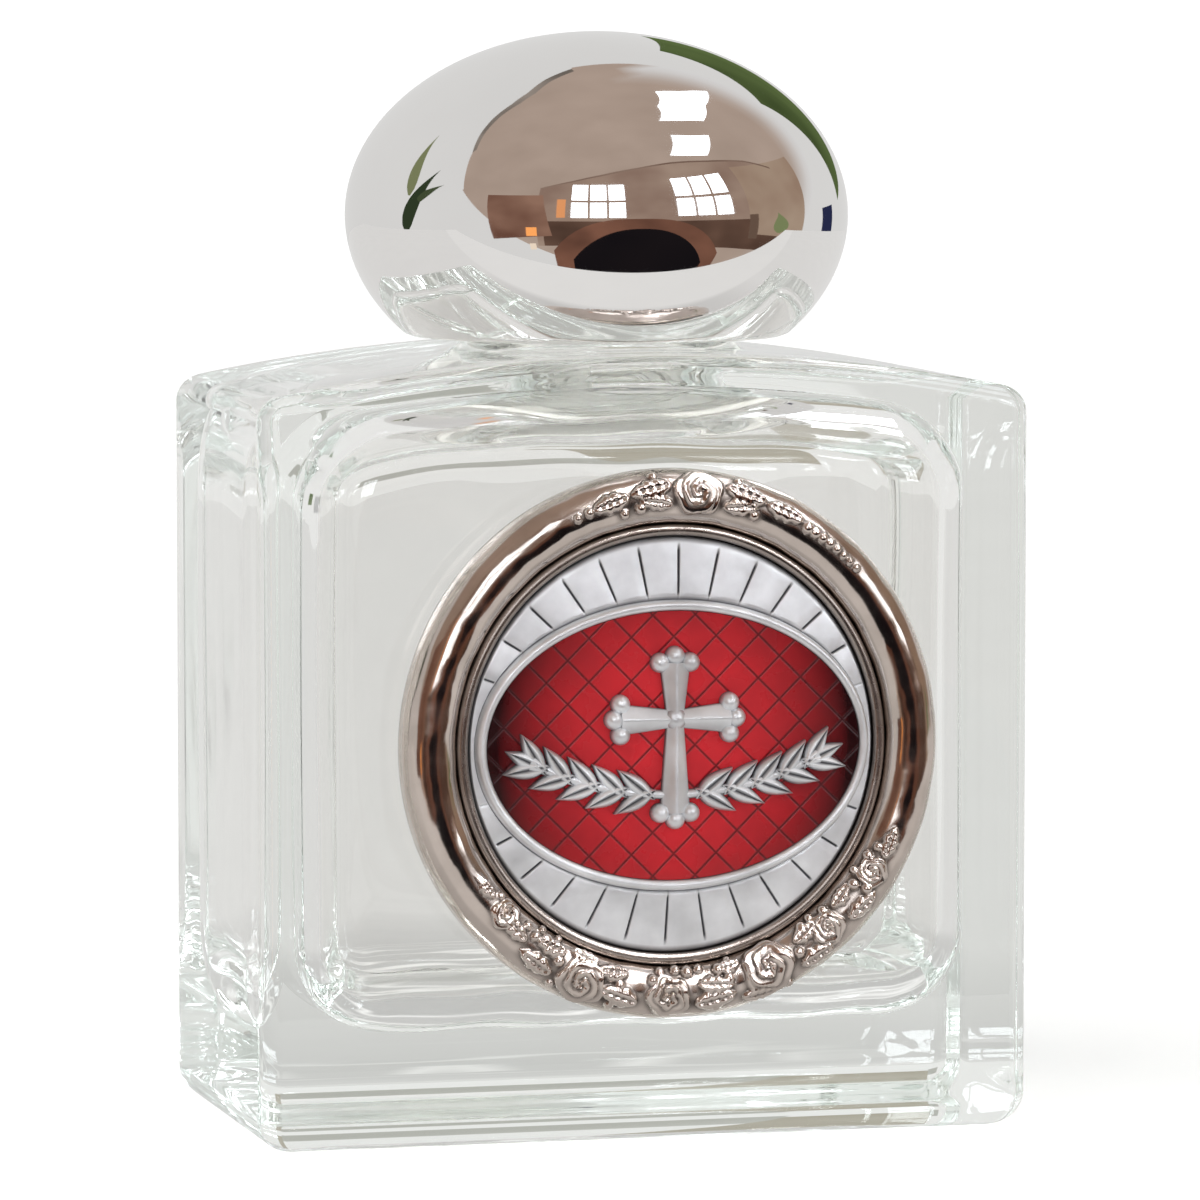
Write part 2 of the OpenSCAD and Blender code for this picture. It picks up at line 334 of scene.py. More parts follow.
def enamel_material():
    """Translucent red over a dark diamond lattice, with painted shade that darkens it towards the edges of
    the oval, most at its two ends.
    """
    material, tree, shader = new_material("red_enamel")
    axes = own_axes(tree)
    across = maths(maths(axes["X"], MEDAL_X * MM, "SUBTRACT"), 1 / (OVAL_A * MM))
    up = maths(maths(axes["Z"], MEDAL_Z * MM, "SUBTRACT"), 1 / (OVAL_B * MM))
    far_up = maths(maths(up, 2, "POWER"), 0.35)
    reach = maths(maths(across, 2, "POWER"), far_up, "ADD")
    streak = noise(tree, 500, 4)
    body = blend(spread(streak), (0.69, 0.024, 0.034), (0.54, 0.015, 0.024))
    # Painted shade: the red darkens towards the oval's edges, most at its two ends
    shaded = blend(spread(reach, 0, 1, 0.10, 0.90), body, (0.018, 0.001, 0.002))
    slants = []
    for sign in (1, -1):
        slant = maths(maths(across, LATTICE[0]), maths(up, sign * LATTICE[1]), "ADD")
        cell = maths(maths(slant, 1.0, "FRACT"), 0.5, "SUBTRACT")
        slants.append(spread(maths(cell, 0, "ABSOLUTE"), 1, 0, *LINE_FADE))
    lines = maths(*slants, "MAXIMUM")
    colour = blend(maths(lines, 0.75), shaded, (0.03, 0.001, 0.003))
    feed(shader, Base_Color=colour, Roughness=spread(streak, 0.22, 0.34))
    feed(shader, Specular_IOR_Level=0.25, Coat_Weight=0.5, Coat_Roughness=0.06)
    bump(shader, lines, -0.03)
    return material


def moulded_material(name, light, shaded, rough, scale, depth):
    """Plain moulded plastic or foam with a fine surface."""
    material, tree, shader = new_material(name)
    grain = noise(tree, scale, 4)
    colour = blend(spread(grain), light, shaded)
    feed(shader, Base_Color=colour, Roughness=spread(grain, *rough))
    bump(shader, grain, depth)
    return material


# Glass bottle
SIDE_STEPS = 8
ARC_STEPS = 10
FRONT_STEPS = 22
QUARTER_STEPS = SIDE_STEPS + ARC_STEPS + FRONT_STEPS
NECK_ANGLES = full_turn(4 * QUARTER_STEPS)


def box_loop(half_x, half_y, corner, z=0.0):
    turn = np.radians(np.linspace(0, 90, ARC_STEPS, endpoint=False))
    x = np.concatenate([
        np.full(SIDE_STEPS, half_x),
        half_x - corner + corner * np.cos(turn),
        np.linspace(half_x - corner, 0, FRONT_STEPS + 1),
    ])
    y = np.concatenate([
        np.linspace(0, half_y - corner, SIDE_STEPS, endpoint=False),
        half_y - corner + corner * np.sin(turn),
        np.full(FRONT_STEPS + 1, half_y),
    ])
    x = np.concatenate([x[:-1], -x[:0:-1], -x[:-1], x[:0:-1]])
    y = np.concatenate([y[:-1], y[:0:-1], -y[:-1], -y[:0:-1]])
    return np.column_stack([x, y, np.full(len(x), z)])


def thread_share(angles, z, start, turns):
    """How far a point stands on a helical ridge: 1 on the crest, 0 off it."""
    share = np.zeros_like(angles)
    for wrap in range(int(turns) + 2):
        along = angles / (2 * np.pi) + wrap
        gap = np.abs(z - start - PITCH * along)
        ends = smooth(along / 0.08) * smooth((turns - along) / 0.08)
        share = np.maximum(share, ends * smooth(1.5 * (1 - gap / RIDGE_HALF)))
    return share


# Height at which the wall's loops start, and where they lie, as shares of the wall
WALL_START = 2.4
WALL_SHARES = (0, 0.07, 0.25, 0.45, 0.65, 0.85, 0.95)
# What a corner's radius loses for each millimetre that its loop moves in, and what is left of it
FOOT_SHRINK, FOOT_CORNER = 0.45, 0.3
EAVE_SHRINK, EAVE_CORNER = 0.6, 0.45
VAULT_SHRINK, ROOF_CORNER = 0.62, 1.2
FLOOR_SHRINK, FLOOR_CORNER = 0.55, 0.8
# Height between two loops of a threaded wall
THREAD_STEP = 0.16


def foot_loops():
    loops = [pole(0.0)]
    for share in (0.3, 0.65, 0.92):
        loops.append(box_loop(share * (HALF_W - FOOT_R), share * (HALF_D - FOOT_R), FOOT_CORNER))
    for inset, rise in quarter(FOOT_R, 10):
        corner = max(UPRIGHT_R - FOOT_SHRINK * inset, FOOT_CORNER)
        loops.append(box_loop(HALF_W - inset, HALF_D - inset, corner, rise))
    return loops


def arch_z(x, radius=ARCH_R):
    """Height of the shoulder's arc, or of another arc about the same axis."""
    return CROWN_Z - ARCH_R + np.sqrt(radius ** 2 - np.asarray(x) ** 2)


def lifted(loop, z):
    return np.column_stack([loop[:, 0], loop[:, 1], np.broadcast_to(z, len(loop))])


def shoulder_loops():
    plain = box_loop(HALF_W, HALF_D, UPRIGHT_R)
    wall = arch_z(plain[:, 0]) - EAVE_R - WALL_START
    loops = [lifted(plain, WALL_START + wall * share) for share in WALL_SHARES]
    for drop, inset in quarter(EAVE_R, 10):
        corner = max(UPRIGHT_R - EAVE_SHRINK * inset, EAVE_CORNER)
        loop = box_loop(HALF_W - inset, HALF_D - inset, corner)
        loops.append(lifted(loop, arch_z(loop[:, 0]) - drop))
    eave = loops[-1]
    root = ring(NECK_R + NECK_ROOT, 0.0, NECK_ANGLES)
    for share in np.linspace(0.05, 1, 12):
        loop = eave + (root - eave) * share
        loops.append(lifted(loop, arch_z(loop[:, 0])))
    return loops


def neck_loops():
    loops = []
    for out, rise in quarter(NECK_ROOT, 15, 15):
        loop = ring(NECK_R + out, 0.0, NECK_ANGLES)
        loops.append(lifted(loop, arch_z(loop[:, 0]) + rise))
    for z in np.arange(CROWN_Z + NECK_ROOT + 0.15, LIP_Z - LIP_R - 0.1, THREAD_STEP):
        share = thread_share(NECK_ANGLES, z, THREAD_START, THREAD_TURNS)
        loops.append(ring(NECK_R + NECK_RIDGE * share, z, NECK_ANGLES))
    lip = [(NECK_R - inset, LIP_Z - drop) for drop, inset in quarter(LIP_R, 15)]
    lip += [(BORE_R + out, LIP_Z - drop) for out, drop in quarter(LIP_R, 15)]
    bore = [(BORE_R, z) for z in np.linspace(LIP_Z - LIP_R - 0.6, VAULT_Z + THROAT_H + 0.4, 10)]
    loops += turned(lip + bore, NECK_ANGLES)
    for share in np.linspace(0, 1, 7):
        loop = ring(BORE_R + THROAT_FLARE * share ** 1.3, 0.0, NECK_ANGLES)
        low = arch_z(loop[:, 0], ARCH_R - SHOULDER_T)
        loops.append(lifted(loop, low + (VAULT_Z + THROAT_H - low) * (1 - share)))
    return loops


def uneven(loop, amount=1.0):
    """The hollow is blown, so its walls wander a little."""
    x, y, z = loop.T
    drift_x = 0.03 * np.sin(0.21 * z + 0.30 * y + 0.9)
    drift_y = 0.08 * np.sin(0.21 * x + 0.17 * z + 0.4) + 0.02 * np.sin(0.51 * x - 0.32 * z)
    drift_z = 0.16 * np.sin(0.29 * x + 1.1) * np.cos(0.35 * y) + 0.06 * np.sin(0.9 * x + 0.7 * y)
    return loop + amount * np.column_stack([drift_x, drift_y, drift_z])


def hollow_loops():
    loops = []
    vault = ARCH_R - SHOULDER_T
    throat = ring(BORE_R + THROAT_FLARE, 0.0, NECK_ANGLES)
    roof = box_loop(HOLLOW_W - VAULT_EDGE_R, HOLLOW_D - VAULT_EDGE_R, ROOF_CORNER)
    for share in (0.12, 0.35, 0.6, 0.85):
        loop = throat + (roof - throat) * share
        loops.append(lifted(loop, arch_z(loop[:, 0], vault)))
    for inset, drop in quarter(VAULT_EDGE_R, 9):
        corner = HOLLOW_UPRIGHT_R - VAULT_SHRINK * inset
        loop = box_loop(HOLLOW_W - inset, HOLLOW_D - inset, corner)
        loops.append(uneven(lifted(loop, arch_z(loop[:, 0], vault) - drop), 1 - inset / VAULT_EDGE_R))
    wall = box_loop(HOLLOW_W, HOLLOW_D, HOLLOW_UPRIGHT_R)
    top = arch_z(wall[:, 0], vault) - VAULT_EDGE_R
    low = HOLLOW_FLOOR + HOLLOW_FLOOR_R
    for share in np.linspace(0.04, 0.98, 22):
        loops.append(uneven(lifted(wall, top + (low - top) * share)))
    for rise, inset in quarter(HOLLOW_FLOOR_R, 7.5):
        corner = max(HOLLOW_UPRIGHT_R - FLOOR_SHRINK * inset, FLOOR_CORNER)
        loops.append(uneven(box_loop(HOLLOW_W - inset, HOLLOW_D - inset, corner, HOLLOW_FLOOR + rise)))
    for share in (0.8, 0.55, 0.3, 0.12):
        half_x = share * (HOLLOW_W - HOLLOW_FLOOR_R)
        half_y = share * (HOLLOW_D - HOLLOW_FLOOR_R)
        loops.append(uneven(box_loop(half_x, half_y, FLOOR_CORNER * share, HOLLOW_FLOOR)))
    loops.append(uneven(pole(HOLLOW_FLOOR)))
    return loops


def build_bottle():
    loops = foot_loops() + shoulder_loops() + neck_loops() + hollow_loops()
    piece = add_piece(
        "bottle_glass", *loft(loops), glass_material(), "bottle", "clear_glass", "glass_bottle")
    piece.modifiers.new("even_normals", "WEIGHTED_NORMAL").keep_sharp = True


# Cap
CAP_ANGLES = full_turn(224)
CAP_LIP = 0.22
# Edges of the insert: round its bore, at its foot and at its top, which the liner's top shares
BORE_EDGE = 0.3
FOOT_EDGE = 0.2
TOP_EDGE = 0.4
# A ring that keeps the triangles of a flat disc short
DISC_RING = 4.0
# Soft pieces stop this far short of the glass, so that light reaches them
CONTACT_GAP = 0.03
# Pieces that sit in others stop this far short of them
SEAT_GAP = 0.02
# How far the liner swells on both sides of the bottle's lip
SWELL = 0.12


def cap_profile():
    """Radius and height of the shell, from the inside of the crown down and round to the outside."""
    height = CAP_HIGH[2] - CAP_LOW[2]
    half = height / (1 + math.sqrt(1 - (CAP_FOOT_R / CAP_R) ** 2))
    middle = CAP_HIGH[2] - half
    inner_r = CAP_R - SHELL_WALL
    inner_half = half - SHELL_WALL
    socket_turn = -math.acos(SOCKET_R / inner_r)
    foot_turn = -math.acos(CAP_FOOT_R / CAP_R)

    def arc(wide, tall, turns):
        return [(wide * math.cos(t), middle + tall * math.sin(t)) for t in turns]

    inside = arc(inner_r, inner_half, np.linspace(math.pi / 2, socket_turn, 40)[1:])
    foot = CAP_LOW[2]
    inside += [
        (SOCKET_R, foot + CAP_LIP), (SOCKET_R + 0.3 * CAP_LIP, foot + 0.3 * CAP_LIP),
        (SOCKET_R + CAP_LIP, foot), (CAP_FOOT_R - CAP_LIP, foot),
        (CAP_FOOT_R - 0.2 * CAP_LIP, foot + 0.3 * CAP_LIP),
    ]
    outside = arc(CAP_R, half, np.linspace(foot_turn + 0.02, math.pi / 2, 90)[:-1])
    return middle + inner_half, inside + outside


def build_cap():
    crown, profile = cap_profile()
    loops = [pole(crown)] + turned(profile, CAP_ANGLES) + [pole(CAP_HIGH[2])]
    add_piece("cap_chrome", *loft(loops), chrome_material(), "cap", "chromed_shell", "cap_shell", 50)


def build_insert():
    outer_r = INSERT_HIGH[0]
    foot, top = INSERT_LOW[2], INSERT_HIGH[2]
    ceiling = LINER_HIGH[2]
    upper = (
        (DISC_RING, ceiling), (INSERT_BORE_R - BORE_EDGE, ceiling), (INSERT_BORE_R, ceiling - BORE_EDGE),
    )
    loops = [pole(ceiling)] + turned(upper, CAP_ANGLES)
    for z in np.arange(LINER_LOW[2] - 0.2, foot + 0.5, -THREAD_STEP):
        share = thread_share(CAP_ANGLES, z, THREAD_START + PITCH / 2, THREAD_TURNS)
        loops.append(ring(INSERT_BORE_R - CAP_RIDGE * share, z, CAP_ANGLES))
    outside = (
        (INSERT_BORE_R, foot + 0.35), (INSERT_BORE_R + BORE_EDGE, foot),
        (outer_r - FOOT_EDGE, foot), (outer_r, foot + FOOT_EDGE),
        (outer_r, top - TOP_EDGE), (outer_r - TOP_EDGE, top), (DISC_RING, top),
    )
    loops += turned(outside, CAP_ANGLES) + [pole(top)]
    plastic = moulded_material(
        "white_plastic", (0.80, 0.80, 0.78), (0.74, 0.74, 0.72), (0.30, 0.42), 700, 0.01)
    add_piece("cap_screw_insert", *loft(loops), plastic, "cap", "white_plastic", "cap_insert", 40)


def build_liner():
    """Foam disc; the bottle's lip presses a ring into it."""
    radius = LINER_HIGH[0]
    low, top = LINER_LOW[2] + CONTACT_GAP, LINER_HIGH[2] - SEAT_GAP
    profile = (
        (BORE_R - 0.2, low - SWELL), (BORE_R + 0.2, low),
        (NECK_R - 0.4, low), (NECK_R + 0.1, low - SWELL),
        (radius - 0.15, low - SWELL), (radius, low + 0.05),
        (radius, top - TOP_EDGE), (radius - TOP_EDGE, top),
    )
    loops = [pole(low - SWELL)] + turned(profile, CAP_ANGLES) + [pole(top)]
    foam = moulded_material("liner_foam", (0.88, 0.88, 0.86), (0.80, 0.80, 0.78), (0.7, 0.85), 2500, 0.05)
    add_piece("foam_liner", *loft(loops), foam, "liner", "liner_foam", "cap_liner", 50)


def build_pad():
    """Double-sided foam tape, squeezed a little so that its edge bulges."""
    angles = full_turn(160)
    edge = PAD_R - 0.12 + 0.03 * np.sin(7 * angles + 0.6) + 0.02 * np.sin(19 * angles)
    back, front = CONTACT_GAP, RIM_BACK - SEAT_GAP
    bulge = ((DISC_RING, 0), (0.10, 0), (0.02, 0.2), (0, 0.5), (0.02, 0.8), (0.10, 1), (DISC_RING, 1))
    profile = [(edge - inset, back + (front - back) * share) for inset, share in bulge]
    loops = [pole(back)] + turned(profile, angles) + [pole(front)]
    tape = moulded_material("adhesive", (0.42, 0.42, 0.41), (0.35, 0.35, 0.34), (0.6, 0.8), 1800, 0.04)
    add_piece("tape_pad", *front_loft(loops), tape, "bottle", "adhesive", "adhesive_pad", 50)


# Relief on the frame: heights over the roll, along it (s) and across it (w)
def local(s, w, turn):
    c, q = heading(turn)
    return s * c + w * q, w * c - s * q


def rose(s, w, radius, height, twist):
    """Spiral rows of petals round a bud."""
    angle = np.arctan2(w, s)
    scallop = 1 + 0.07 * np.cos(5 * angle + twist)
    reach = np.hypot(s, w) / radius / scallop
    row = 3.1 * reach + angle / np.pi + 0.10 * np.sin(5 * angle + 2.2 * twist) + twist
    part = row % 1
    petal = np.where(part < 0.8, part / 0.8, (1 - part) / 0.2)
    crown = 1 - 0.55 * reach ** 1.6
    return height * crown * (0.5 + 0.5 * petal) * smooth((1 - reach) / 0.14)


def leaf(s, w, length, width, height, turn):
    """A pointed leaf with a midrib and side veins."""
    along, off = local(s, w, turn)
    share = np.clip(along / length, 0, 1)
    half = width / 2 * np.sin(np.pi * share ** 0.8) + 1e-4
    notch = 1 + 0.10 * np.sin(26 * share)
    side = np.abs(off) / (half * notch)
    inside = (along > 0) & (along < length)
    dome = np.sqrt(np.clip(1 - side ** 2, 0, 1))
    rib = 0.35 * np.exp(-(off / 0.09) ** 2)
    veins = 0.16 * np.abs(np.sin(18 * share - 5 * np.abs(off) / width))
    return np.where(inside, height * dome * (0.72 + veins - rib) * smooth(6 * (1 - share)), 0)


def bead(s, w, radius):
    return np.sqrt(np.clip(radius ** 2 - s ** 2 - w ** 2, 0, None)) * 0.9


# Each row: angle round the frame in degrees, place across the roll, then the form's own sizes
ROSES = (
    (293, 0.30, 1.60, 0.50, 0.4), (247, -0.30, 1.45, 0.46, 1.9), (268, -0.15, 1.30, 0.44, 3.0),
    (310, 0.25, 1.05, 0.40, 2.2), (327, 0.35, 0.95, 0.36, 0.9), (223, 0.55, 0.95, 0.34, 1.3),
    (85, -0.35, 1.40, 0.46, 0.9),
)
LEAVES = (
    (258, 0.95, 2.2, 1.1, 0.40, 188), (250, 1.05, 2.1, 1.1, 0.38, 176), (241, 0.85, 2.2, 1.1, 0.38, 186),
    (261, -0.55, 2.4, 1.3, 0.40, 172), (274, -0.60, 2.5, 1.3, 0.40, 4), (275, 0.45, 2.3, 1.1, 0.40, -10),
    (285, -0.85, 2.2, 1.1, 0.36, -6), (287, 1.15, 1.9, 0.9, 0.34, 182), (240, -0.55, 2.3, 1.1, 0.36, 176),
    (231, 0.15, 2.2, 1.0, 0.34, 172), (300, -0.50, 2.3, 1.1, 0.36, -4), (301, 0.75, 2.0, 1.0, 0.36, 8),
    (315, -0.20, 2.2, 1.0, 0.34, -6), (314, 0.90, 2.0, 0.9, 0.32, 6), (331, 0.20, 2.0, 0.9, 0.30, 2),
    (218, 0.60, 1.7, 0.8, 0.28, 180), (91, -0.75, 2.5, 1.2, 0.38, 8), (91, 0.35, 2.1, 1.0, 0.34, -12),
    (101, -0.35, 2.4, 1.1, 0.34, 4), (79, -0.80, 2.6, 1.2, 0.40, 174), (79, 0.30, 2.2, 1.0, 0.34, 192),
    (69, -0.50, 2.5, 1.0, 0.34, 180),
)
BEADS = (
    (270, 1.40, 0.36), (273, 1.25, 0.40), (276, 1.35, 0.32), (266, 1.30, 0.32), (264, 0.75, 0.34),
    (281, 1.10, 0.38), (283, 0.45, 0.34), (284, 1.55, 0.28), (256, 0.20, 0.32), (254, 0.55, 0.30),
    (240, 0.25, 0.32), (235, 0.95, 0.38), (233, 1.35, 0.30), (232, 0.70, 0.32), (229, 0.95, 0.30),
    (238, 1.50, 0.28), (301, 0.15, 0.32), (305, 1.25, 0.36), (308, 1.40, 0.30), (312, 1.20, 0.32),
    (304, -0.45, 0.28), (322, 0.85, 0.36), (323, 0.10, 0.32), (325, 1.30, 0.28), (330, 1.05, 0.32),
    (333, 0.75, 0.30), (336, 0.45, 0.26), (296, -1.25, 0.28), (279, -1.05, 0.28), (255, -1.10, 0.28),
    (241, -1.15, 0.26), (219, 1.05, 0.26), (74, 0.25, 0.34), (71, 0.35, 0.30), (99, 0.40, 0.34),
    (103, 0.55, 0.30), (76, -1.35, 0.28), (95, -1.40, 0.28), (111, -0.20, 0.28), (114, -0.15, 0.24),
) + tuple((58 - 2.1 * i, -0.35, 0.36 - 0.022 * i) for i in range(8))


def relief_height(angles, across):
    """Height of the cast flowers over the roll, for a grid of angles by places across."""
    total = np.zeros((len(across), len(angles)))
    for shape, rows in ((rose, ROSES), (leaf, LEAVES), (bead, BEADS)):
        for centre, place, *sizes in rows:
            along = np.radians((angles - centre + 180) % 360 - 180)[None, :] * ROLL_MID
            total = np.maximum(total, shape(along, across[:, None] - place, *sizes))
    return total


def blurred(grid, rows, columns):
    for axis, reach in ((0, rows), (1, columns)):
        grid = sum(np.roll(grid, shift, axis) for shift in range(-reach, reach + 1)) / (2 * reach + 1)
    return grid


def frame_angles():
    """Degrees round the frame, close together where the flowers are."""
    spans = ((0, 36, 1.5), (36, 120, 0.25), (120, 213, 1.5), (213, 342, 0.25), (342, 360, 1.5))
    return np.concatenate([np.arange(*span) for span in spans])


class Skin:
    """Loops in the medallion's own plane, from its back round to its front, each with its share of tarnish
    and painted shade.
    """

    def __init__(self, angles, back):
        self.angles = angles
        self.loops = [pole(back)]
        self.shades = [np.zeros(1)]

    def add(self, radius, z, shade=0.0):
        self.loops.append(ring(radius, z, self.angles))
        self.shades.append(np.broadcast_to(shade, self.angles.shape))

    def build(self, name, front, shade, material, slot, replaced, sharp):
        points, faces = front_loft(self.loops + [pole(front)])
        shades = np.concatenate(self.shades + [np.full(1, shade)])
        return add_piece(name, points, faces, material, "bottle", slot, replaced, sharp, shades)


# Slight unevenness of the roll: waves round it, waves across it, start and height
RIPPLES = ((23, 2.2, 0.0, 0.010), (37, 1.1, 1.3, 0.006), (61, 3.1, 2.6, 0.004))
# Painted shade, with tarnish, in the dips between the flowers: how deep a dip is fully dark, and how dark
# that is
DIP_DEPTH = 0.10
DIP_SHADE = 0.85
# The chamfer round the back, and a ring within the flat back and tray
RIM_EDGE = 0.25
BACK_RING = 6.0


def build_frame():
    degrees = frame_angles()
    angles = np.radians(degrees)
    turns = np.radians(np.linspace(0, 180, 73))
    across = ROLL_R * (turns - np.pi / 2)
    relief = relief_height(degrees, across)
    ripple = np.zeros_like(relief)
    for waves, rows, start, height in RIPPLES:
        ripple = ripple + height * np.sin(waves * angles[None, :] + rows * across[:, None] + start)
    # Dips between the flowers get painted shade, with tarnish
    dip = np.clip((blurred(relief, 4, 6) - relief) / DIP_DEPTH, 0, 1) * DIP_SHADE
    skin = Skin(angles, RIM_BACK)
    for radius in (BACK_RING, RIM_R - 0.9, RIM_R - RIM_EDGE):
        skin.add(radius, RIM_BACK)
    skin.add(RIM_R, RIM_BACK + RIM_EDGE)
    skin.add(RIM_R, (RIM_BACK + ROLL_FOOT) / 2)
    for row, turn in enumerate(turns):
        rise = ROLL_R + relief[row] + ripple[row]
        skin.add(ROLL_MID + rise * math.cos(turn), ROLL_FOOT + rise * math.sin(turn), dip[row])
    # The groove, and the tray under the plaque, are fully darkened: painted shade in these recesses, with
    # tarnish
    groove = RIM_R - 2 * ROLL_R
    skin.add(groove + 0.02, BEAD_Z - 0.33, 1.0)
    skin.add(groove - 0.03, BEAD_Z - 0.36, 1.0)
    # The bead is dark overall, darkest on its sides and lighter on its crest: painted shade, with tarnish
    for turn in np.radians(np.arange(0, 181, 15)):
        shade = 0.45 + 0.50 * (1 - math.sin(turn)) ** 2
        skin.add(BEAD_MID + BEAD_R * math.cos(turn), BEAD_Z + BEAD_R * math.sin(turn), shade)
    tray = BEAD_MID - BEAD_R
    for radius, z in ((tray, TRAY_Z + 0.05), (tray - 0.1, TRAY_Z), (BACK_RING, TRAY_Z)):
        skin.add(radius, z, 1.0)
    nickel = metal_material(
        "nickel", 1.0, (0.64, 0.555, 0.505), (0.50, 0.43, 0.385), (0.05, 0.038, 0.032),
        (0.09, 0.17), 900, 0.006)
    return skin.build("medallion_rim", TRAY_Z, 1.0, nickel, "nickel", "medallion_frame", 60)


# Silver surround and its engraved rays
RAYS = 30
RAY_PHASE = 4.0
RAY_HALF = 0.55
RAY_DEPTH = 0.13


def ray_angles():
    degrees = []
    step = 360 / RAYS
    for k in range(RAYS):
        centre = RAY_PHASE + k * step
        degrees += [centre + RAY_HALF * q for q in (-1.25, -1, -0.45, 0, 0.45, 1, 1.25)]
        degrees += list(np.linspace(centre + RAY_HALF * 1.25, centre + step - RAY_HALF * 1.25, 8)[1:-1])
    return np.array(degrees)


def oval_reach(angles, offset=0.0):
    """Distance from the middle to the oval, or to a line that runs a set way outside it."""
    c, s = np.cos(angles), np.sin(angles)
    edge = OVAL_A * OVAL_B / np.hypot(OVAL_B * c, OVAL_A * s)
    normal = np.array([c / OVAL_A ** 2, s / OVAL_B ** 2])
    slant = (normal[0] * c + normal[1] * s) / np.hypot(*normal)
    return edge + offset / slant


def dome_z(radius):
    return TRAY_Z + PLAQUE_EDGE + PLAQUE_DOME * (1 - (radius / PLAQUE_R) ** 2)


# Loops between the plaque's edge and the bezel, as shares of the way
SURROUND_SHARES = (0.08, 0.14, 0.2, 0.3, 0.45, 0.6, 0.75, 0.88, 0.94)
PLAQUE_CHAMFER = 0.1


def build_plaque():
    degrees = ray_angles()
    angles = np.radians(degrees)
    step = 360 / RAYS
    off = np.abs(((degrees - RAY_PHASE) / step + 0.5) % 1 - 0.5) * step / RAY_HALF
    cut = np.clip(1 - off, 0, 1)
    skin = Skin(angles, TRAY_Z)
    inner = oval_reach(angles)
    outer = oval_reach(angles, BEZEL_W)
    edge_r = PLAQUE_R - PLAQUE_CHAMFER
    skin.add(edge_r, TRAY_Z)
    skin.add(PLAQUE_R, TRAY_Z + PLAQUE_CHAMFER)
    # The plaque's side is darkened: painted shade, with tarnish
    skin.add(PLAQUE_R, TRAY_Z + PLAQUE_EDGE - 0.12, 0.8)
    skin.add(edge_r, TRAY_Z + PLAQUE_EDGE, 0.6)
    width = edge_r - outer
    # Rays and pillows die away where the surround is narrow
    wide = smooth((width - 0.4) / 0.5)
    pillow = 0.05 * (1 - cut) * smooth(off / 6) * wide
    # The rays' grooves, and the surround next to the plaque's edge, are darkened: tarnish and painted shade
    for share in SURROUND_SHARES:
        radius = edge_r - width * share
        reach = smooth((share - 0.10) / 0.08) * smooth((0.95 - share) / 0.03)
        depth = RAY_DEPTH * cut * reach * wide
        edge = 0.25 * smooth((0.1 - share) / 0.1)
        skin.add(radius, dome_z(radius) + pillow - depth, np.clip(1.3 * cut * reach * wide + edge, 0, 1))
    # The foot of the bezel is darkened, and the wall down to the enamel fully: painted shade in the crease,
    # with tarnish
    skin.add(outer, dome_z(outer) - 0.02, 0.85)
    for turn in np.radians(np.arange(0, 181, 20)):
        reach = oval_reach(angles, BEZEL_W / 2 * (1 + 0.96 * math.cos(turn)))
        base = dome_z(outer) * (1 + math.cos(turn)) / 2 + (BEZEL_TOP - 0.2) * (1 - math.cos(turn)) / 2
        z = base + (BEZEL_TOP - base) * math.sin(turn)
        skin.add(reach, z, 0.5 * (1 - math.sin(turn)) ** 2)
    skin.add(inner, ENAMEL_TOP - 0.1, 1.0)
    skin.add(inner, ENAMEL_FLOOR, 1.0)
    skin.add(0.5 * inner, ENAMEL_FLOOR)
    return skin.build("silver_surround", ENAMEL_FLOOR, 0.0, SILVER, "antique_silver", "silver_plaque", 50)


# The enamel climbs a little where it meets the bezel
ENAMEL_CLIMB = 0.07
ENAMEL_SHARES = (0.985, 0.96, 0.92, 0.85, 0.7, 0.5, 0.3, 0.12)


def build_enamel():
    angles = full_turn(200)
    edge = oval_reach(angles) - SEAT_GAP
    back = ENAMEL_FLOOR + 0.01
    profile = [(0.5 * edge, back), (edge, back), (edge, ENAMEL_TOP + ENAMEL_CLIMB)]
    profile += [(edge * share, ENAMEL_TOP + ENAMEL_CLIMB * share ** 14) for share in ENAMEL_SHARES]
    loops = [pole(back)] + turned(profile, angles) + [pole(ENAMEL_TOP)]
    enamel = enamel_material()
    add_piece("enamel_oval", *front_loft(loops), enamel, "bottle", "red_enamel", "enamel_field", 60)


# Relief emblem: a budded cross between two olive branches
CROSSING_Y = 1.5
ARM = 3.1
SHAFT = 5.2
ARM_W = 0.9
FLARE_W = 1.7
LAP = 0.1
BUD_R = 0.55
BRANCH_LIFT = 1.0
BRANCH_R = 18.0
BRANCH_SWEEP = 25.0
STEM_W = 0.5
LEAF_PAIRS = 5
LEAF_L = 2.7
LEAF_W = 1.0
LEAF_ANGLE = 34.0
SINK = 0.08
BOSS_R = 0.62


class Relief:
    """Collects the small raised forms of one piece."""

    def __init__(self):
        self.points = []
        self.faces = []
        self.shades = []

    def stack(self, rows, order=1):
        """Walls between outlines over each other, each with its height and share of tarnish and painted
        shade; gives their starts.
        """
        starts = []
        for outline, height, shade in rows:
            starts.append(len(self.points))
            self.points += [(x, y, ENAMEL_TOP - SINK + height) for x, y in outline]
            self.shades += [shade] * len(outline)
        count = len(self.points) - starts[-1]
        for low, high in zip(starts, starts[1:]):
            for j in range(count):
                k = (j + 1) % count
                self.faces.append((low + j, low + k, high + k, high + j)[::order])
        return starts

    def mound(self, outline, levels, place):
        """Stacks copies of an outline; each level is its length share, width share, height, and share of
        tarnish and painted shade.
        """
        count = len(outline)
        starts = self.stack([
            ([place(x * length, y * width) for x, y in outline], height, shade)
            for length, width, height, shade in levels
        ])
        self.faces.append(tuple(starts[0] + j for j in reversed(range(count))))
        if levels[-1][1] > 0:
            self.faces.append(tuple(starts[-1] + j for j in range(count)))


